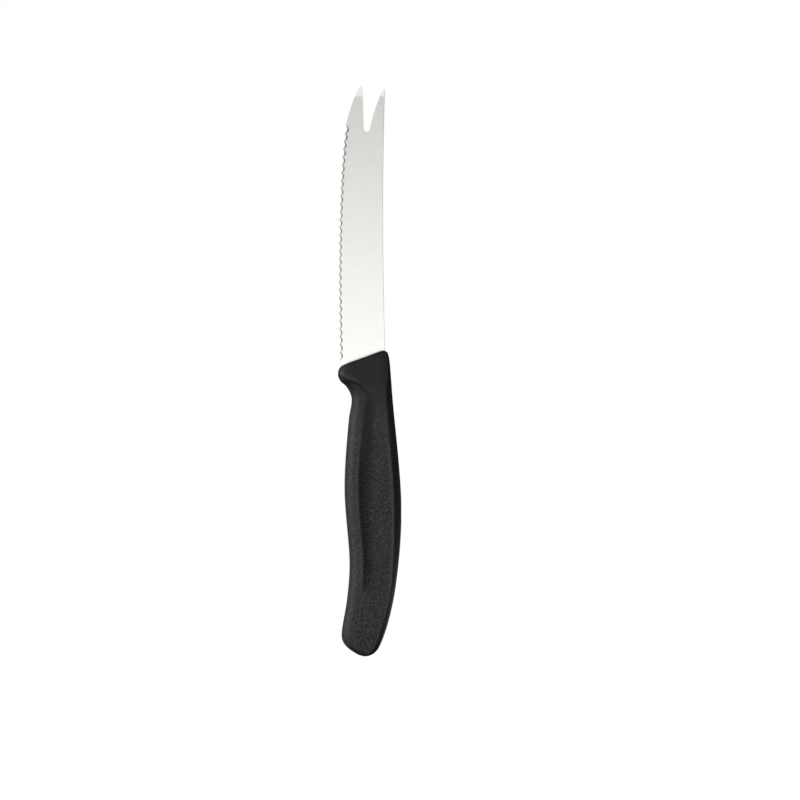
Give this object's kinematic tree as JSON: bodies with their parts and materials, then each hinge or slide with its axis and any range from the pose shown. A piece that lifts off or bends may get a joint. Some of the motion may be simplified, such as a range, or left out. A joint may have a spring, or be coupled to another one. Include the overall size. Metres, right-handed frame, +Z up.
{
  "type": "bar knife",
  "caption": "Slim bar knife with a forked tip for lifting slices, a scalloped cutting edge and a black moulded handle with a guard nose, a finger notch and a flared butt.",
  "frame": {"origin": "middle of the blade's flat, halfway through its thickness and 50 mm above the heel of the cutting edge", "axes": "+Z up the knife to the forked tip, +X from the cutting edge to the spine, -Y to the side that the scallops are ground on"},
  "size_m": [0.025, 0.0128, 0.2253],
  "materials": {
    "blade_steel": "stainless steel, finely brushed across the blade, with ground scallops along the edge",
    "handle_plastic": "black polypropylene with a fine spark-eroded grain"
  },
  "bodies": {
    "root": {"blade": "blade_steel", "handle": "handle_plastic"}
  },
  "joints": []
}
